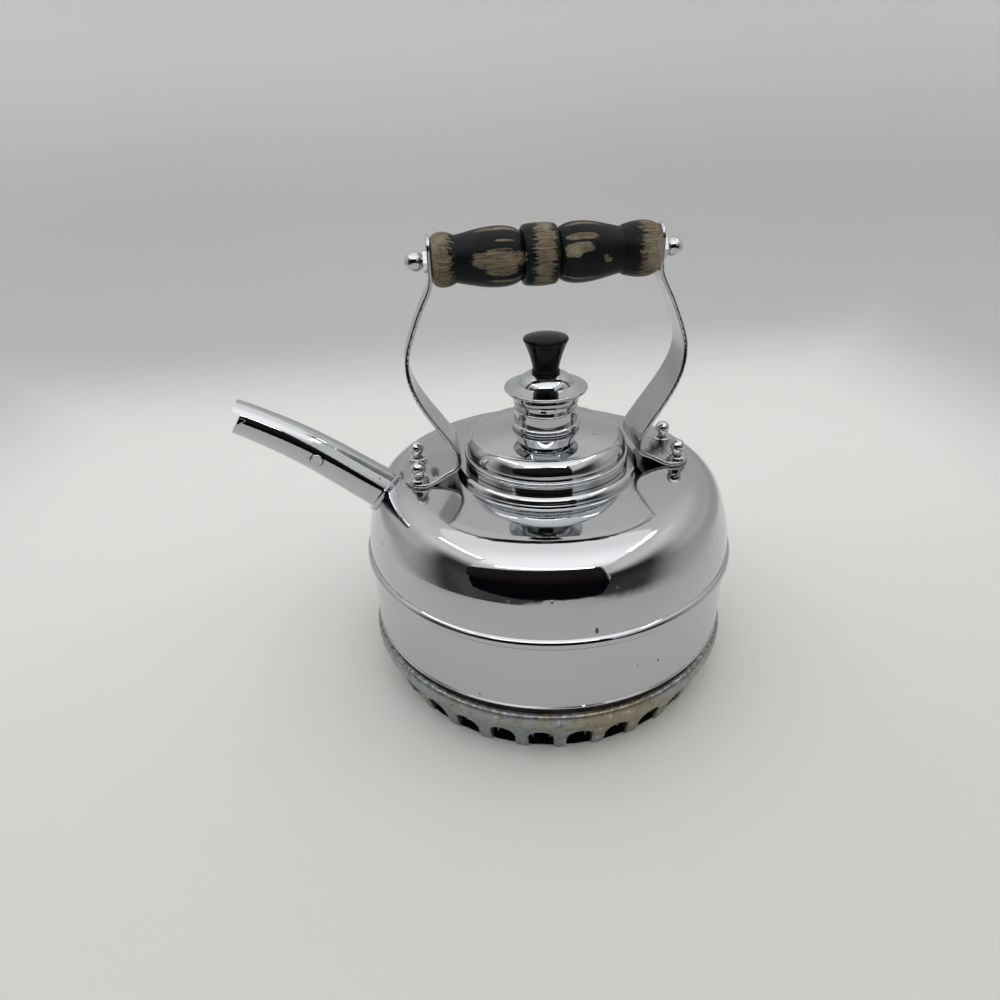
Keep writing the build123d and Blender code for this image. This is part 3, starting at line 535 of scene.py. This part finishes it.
woodSet = {"paint": (0.0022, 0.0028, 0.0034), "paintDusty": (0.009, 0.011, 0.012),
           "wood": (0.25, 0.21, 0.145), "woodDark": (0.085, 0.068, 0.045),
           "woodPale": (0.42, 0.38, 0.29), "rim": (0.03, 0.026, 0.022),
           "knot": (-0.0464, -0.0113, 0.2368), "knotReach": (0.0011, 0.0007),
           "knotPitShade": (0.004, 0.003, 0.002)}


def paintedWood(s):
    mat, tree, skin = newMaterial("paintedWood")
    point = objectPoint(tree)
    wear = useGroup(tree, buildWear(wearSet), Vector=point)
    cloud = noise(tree, point, 60.0, 4.0, 0.6)
    streak = wear["Grain"]
    wood = blendColour(tree, ramp(tree, streak, 0.38, 0.62), s["woodDark"], s["wood"])
    wood = blendColour(tree, ramp(tree, cloud, 0.5, 0.72, 0.0, 0.55), wood, s["woodPale"])
    rings = tree.nodes.new("ShaderNodeTexWave")  # turning marks round the grip
    rings.bands_direction = "X"
    tree.links.new(point, rings.inputs["Vector"])
    rings.inputs["Scale"].default_value = 190.0
    rings.inputs["Distortion"].default_value = 3.0
    rings.inputs["Detail"].default_value = 2.0
    wood = blendColour(tree, ramp(tree, rings.outputs["Fac"], 0.6, 0.95, 0.0, 0.12), wood, s["woodDark"])
    paint = blendColour(tree, ramp(tree, cloud, 0.45, 0.75), s["paint"], s["paintDusty"])
    paint = blendColour(tree, ramp(tree, streak, 0.64, 0.72, 0.0, 0.35), paint, s["wood"])
    colour = blendColour(tree, wear["Worn"], paint, wood)
    colour = blendColour(tree, calc(tree, "MULTIPLY", wear["Edge"], 0.5), colour, s["rim"])
    # painted shade: the small pit at the knot is painted near black, standing for the shade inside it
    hole = ramp(tree, farFrom(tree, point, s["knot"]), *s["knotReach"])
    colour = blendColour(tree, hole, colour, s["knotPitShade"])
    tree.links.new(colour, skin.inputs["Base Color"])
    tree.links.new(blendColour(tree, wear["Worn"], (0.42,) * 3, (0.78,) * 3), skin.inputs["Roughness"])
    skin.inputs["Specular IOR Level"].default_value = 0.16
    height = calc(tree, "ADD", calc(tree, "MULTIPLY", wear["Worn"], -0.8),
                  calc(tree, "MULTIPLY", streak, 0.5))
    height = calc(tree, "ADD", height, calc(tree, "MULTIPLY", rings.outputs["Fac"], 0.05))
    height = calc(tree, "SUBTRACT", height, calc(tree, "MULTIPLY", hole, 2.0))
    bumped(tree, skin, height, 0.8, 0.0004)
    return mat


# drips on the front of the body, place and reach in metres
shellStains = ((0.0049, -0.1019, 0.0836, 0.0013),
               (0.0389, -0.0943, 0.0538, 0.0007),
               (-0.0499, -0.0889, 0.0395, 0.0006),
               (0.0156, -0.1008, 0.0757, 0.0005))
pinLow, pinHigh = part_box("spout_pin")
pinPlace = ((pinLow.x + pinHigh.x) / 2, (pinLow.z + pinHigh.z) / 2)
pinRingWidth = 0.0009
pinReach = (pinHigh.x - pinLow.x) / 2 + pinRingWidth
shellSet = dict(chromeSet, hazeTop=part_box("upper_shell")[1].z, stains=shellStains,
                hazeFade=(0.006, 0.001), stainSquash=0.55, stainColour=(0.17, 0.12, 0.06))
lidSet = dict(chromeSet, spots=90.0, rippleScale=50.0, ripple=0.16)
spoutSet = dict(chromeSet, spots=120.0, rippleScale=40.0, ripple=0.35, pinRing=pinPlace,
                pinRingReach=pinReach)

finishes = {
    "chrome_shell": plateChrome("shellChrome", shellSet),
    "chrome_bead": plateChrome("beadChrome", beadSet),
    "chrome_lid": plateChrome("lidChrome", lidSet),
    "chrome_spout": plateChrome("spoutChrome", spoutSet),
    "chrome_strap": plateChrome("strapChrome", strapSet),
    "chrome_small": plateChrome("nutChrome", smallSet),
    "base_steel": sootySteel(),
    "cast_ring": castMetal(castSet),
    "fin_metal": finMetal(finSet),
    "inner_brass": brushedBrass("innerBrass", (0.62, 0.47, 0.22), 0.22),
    "flap_brass": brushedBrass("flapBrass", (0.5, 0.44, 0.33), 0.25),
    "bakelite": blackResin(),
    "painted_wood": paintedWood(woodSet),
}
slotOf = {p["node"]: p["material_slot"] for p in frame["record"]["subparts"]}
for name, node in nodes.items():
    node.data.materials.clear()
    node.data.materials.append(finishes[slotOf[name]])
print("finishes ready")


def mergedCopy(name, node):
    mesh = nodes[node].data.copy()
    mesh.name = name
    bm = bmesh.new()
    bm.from_mesh(mesh)
    bmesh.ops.remove_doubles(bm, verts=bm.verts, dist=1e-6)
    bm.to_mesh(mesh)
    bm.free()
    copy = bpy.data.objects.new(name, mesh)
    scene.collection.objects.link(copy)
    return copy


def settled(obj):
    # the evaluated result as a plain mesh, with the modifiers gone
    graph = bpy.context.evaluated_depsgraph_get()
    mesh = bpy.data.meshes.new_from_object(obj.evaluated_get(graph), depsgraph=graph)
    obj.modifiers.clear()
    old = obj.data
    obj.data = mesh
    mesh.name = obj.name
    bpy.data.meshes.remove(old)
    for face in mesh.polygons:
        face.use_smooth = True


def handOver(obj, body, slot, *cadNodes):
    obj.data.materials.clear()
    obj.data.materials.append(finishes[slot])
    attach(obj, body)
    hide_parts(*cadNodes)


def softRemesh(obj, s):
    grain = obj.modifiers.new("grain", "REMESH")
    grain.mode = "VOXEL"
    grain.voxel_size = s["voxel"]
    grain.use_smooth_shade = True
    soft = obj.modifiers.new("soften", "SMOOTH")
    soft.factor = 0.5
    soft.iterations = s["soften"]
    settled(obj)
    print(obj.name, len(obj.data.polygons), "faces")


# cast ring with soft, pillowy edges
ringSet = {"voxel": 0.0008, "soften": 4}


def buildCastRing(s):
    ring = mergedCopy("castRing", "heat_ring")
    softRemesh(ring, s)
    low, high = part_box("heat_ring")
    for v in ring.data.vertices:
        v.co.z = min(max(v.co.z, low.z), high.z)
    handOver(ring, "kettle", "cast_ring", "heat_ring")


buildCastRing(ringSet)
print("cast ring ready")

# strap edges worn round
strapShape = {"voxel": 0.0004, "soften": 18,
              "straps": (("spoutStrap", "handle_strap_front"), ("backStrap", "handle_strap_rear"))}


def buildStraps(s):
    for name, node in s["straps"]:
        strap = mergedCopy(name, node)
        softRemesh(strap, s)
        handOver(strap, "kettle", "chrome_strap", node)


buildStraps(strapShape)
print("straps ready")

# burnt crust between the fins, near black so that it also stands for the shade under the kettle seen
# through the arches: a closed band turned round the axis, then lumps and crumbs by rule
crustSet = {"steps": 360,
            "profile": ((74.2, 3.0), (78.0, 0.9), (86.0, 0.7), (93.4, 0.6), (94.0, 1.0), (90.8, 1.6),
                        (85.0, 2.2), (81.0, 6.0), (78.6, 13.0), (77.0, 17.0), (75.6, 19.0),
                        (74.2, 12.0)),  # radius and height in mm
            "Lumps": 0.0012, "Seed": 4.0, "Crumbs": 60000.0, "Crumb Size": 0.00045,
            "clear": 0.0002}  # stays this far above the floor


def crustRule():
    tree = bpy.data.node_groups.new("crustRule", "GeometryNodeTree")
    tree.interface.new_socket("Geometry", in_out="INPUT", socket_type="NodeSocketGeometry")
    for label in ("Lumps", "Seed", "Crumbs", "Crumb Size"):
        tree.interface.new_socket(label, in_out="INPUT", socket_type="NodeSocketFloat")
    tree.interface.new_socket("Material", in_out="INPUT", socket_type="NodeSocketMaterial")
    tree.interface.new_socket("Geometry", in_out="OUTPUT", socket_type="NodeSocketGeometry")
    new = tree.nodes.new
    ins = new("NodeGroupInput").outputs
    outs = new("NodeGroupOutput").inputs
    cloud = new("ShaderNodeTexNoise")
    cloud.noise_dimensions = "4D"
    cloud.inputs["Scale"].default_value = 420.0
    cloud.inputs["Detail"].default_value = 3.0
    tree.links.new(new("GeometryNodeInputPosition").outputs[0], cloud.inputs["Vector"])
    tree.links.new(ins["Seed"], cloud.inputs["W"])
    push = calc(tree, "MULTIPLY", calc(tree, "SUBTRACT", cloud.outputs[0], 0.62), ins["Lumps"])
    shift = new("ShaderNodeVectorMath")
    shift.operation = "SCALE"
    tree.links.new(new("GeometryNodeInputNormal").outputs[0], shift.inputs[0])
    tree.links.new(push, shift.inputs["Scale"])
    lumpy = new("GeometryNodeSetPosition")
    tree.links.new(ins["Geometry"], lumpy.inputs["Geometry"])
    tree.links.new(shift.outputs[0], lumpy.inputs["Offset"])
    scatter = new("GeometryNodeDistributePointsOnFaces")
    tree.links.new(lumpy.outputs[0], scatter.inputs["Mesh"])
    tree.links.new(ins["Crumbs"], scatter.inputs["Density"])
    scatter.inputs["Seed"].default_value = 7
    crumb = new("GeometryNodeMeshIcoSphere")
    tree.links.new(ins["Crumb Size"], crumb.inputs["Radius"])
    crumb.inputs["Subdivisions"].default_value = 1
    size = new("FunctionNodeRandomValue")
    size.data_type = "FLOAT_VECTOR"
    size.inputs["Min"].default_value = (0.4, 0.4, 0.3)
    size.inputs["Max"].default_value = (1.6, 1.3, 0.9)
    size.inputs["Seed"].default_value = 3
    sow = new("GeometryNodeInstanceOnPoints")
    tree.links.new(scatter.outputs["Points"], sow.inputs["Points"])
    tree.links.new(crumb.outputs["Mesh"], sow.inputs["Instance"])
    tree.links.new(scatter.outputs["Rotation"], sow.inputs["Rotation"])
    tree.links.new(size.outputs["Value"], sow.inputs["Scale"])
    both = new("GeometryNodeJoinGeometry")
    tree.links.new(sow.outputs[0], both.inputs[0])
    tree.links.new(lumpy.outputs[0], both.inputs[0])
    real = new("GeometryNodeRealizeInstances")
    tree.links.new(both.outputs[0], real.inputs[0])
    coat = new("GeometryNodeSetMaterial")
    tree.links.new(real.outputs[0], coat.inputs["Geometry"])
    tree.links.new(ins["Material"], coat.inputs["Material"])
    tree.links.new(coat.outputs[0], outs["Geometry"])
    return tree


def setInputs(modifier, values):
    for item in modifier.node_group.interface.items_tree:
        if item.in_out == "INPUT" and item.name in values:
            modifier[item.identifier] = values[item.name]


def buildCrust(s):
    bm = bmesh.new()
    loops = []
    for k in range(s["steps"]):
        turn = 2 * math.pi * k / s["steps"]
        loops.append([bm.verts.new((r * 0.001 * math.cos(turn), r * 0.001 * math.sin(turn), z * 0.001))
                      for r, z in s["profile"]])
    n = len(s["profile"])
    for k in range(s["steps"]):
        this, after = loops[k], loops[(k + 1) % s["steps"]]
        for i in range(n):
            j = (i + 1) % n
            bm.faces.new((this[i], after[i], after[j], this[j]))
    bmesh.ops.recalc_face_normals(bm, faces=bm.faces)
    mesh = bpy.data.meshes.new("sootAndShadeCrust")
    bm.to_mesh(mesh)
    bm.free()
    crust = bpy.data.objects.new("sootAndShadeCrust", mesh)
    scene.collection.objects.link(crust)
    mat = burntCrustAndShade()
    rule = crust.modifiers.new("crustRule", "NODES")
    rule.node_group = crustRule()
    setInputs(rule, dict(s, Material=mat))
    settled(crust)
    for v in crust.data.vertices:
        v.co.z = max(v.co.z, s["clear"])
    print("crust", len(crust.data.polygons), "faces")
    crust.data.materials.clear()
    crust.data.materials.append(mat)
    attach(crust, "kettle")


buildCrust(crustSet)
print("crust ready")
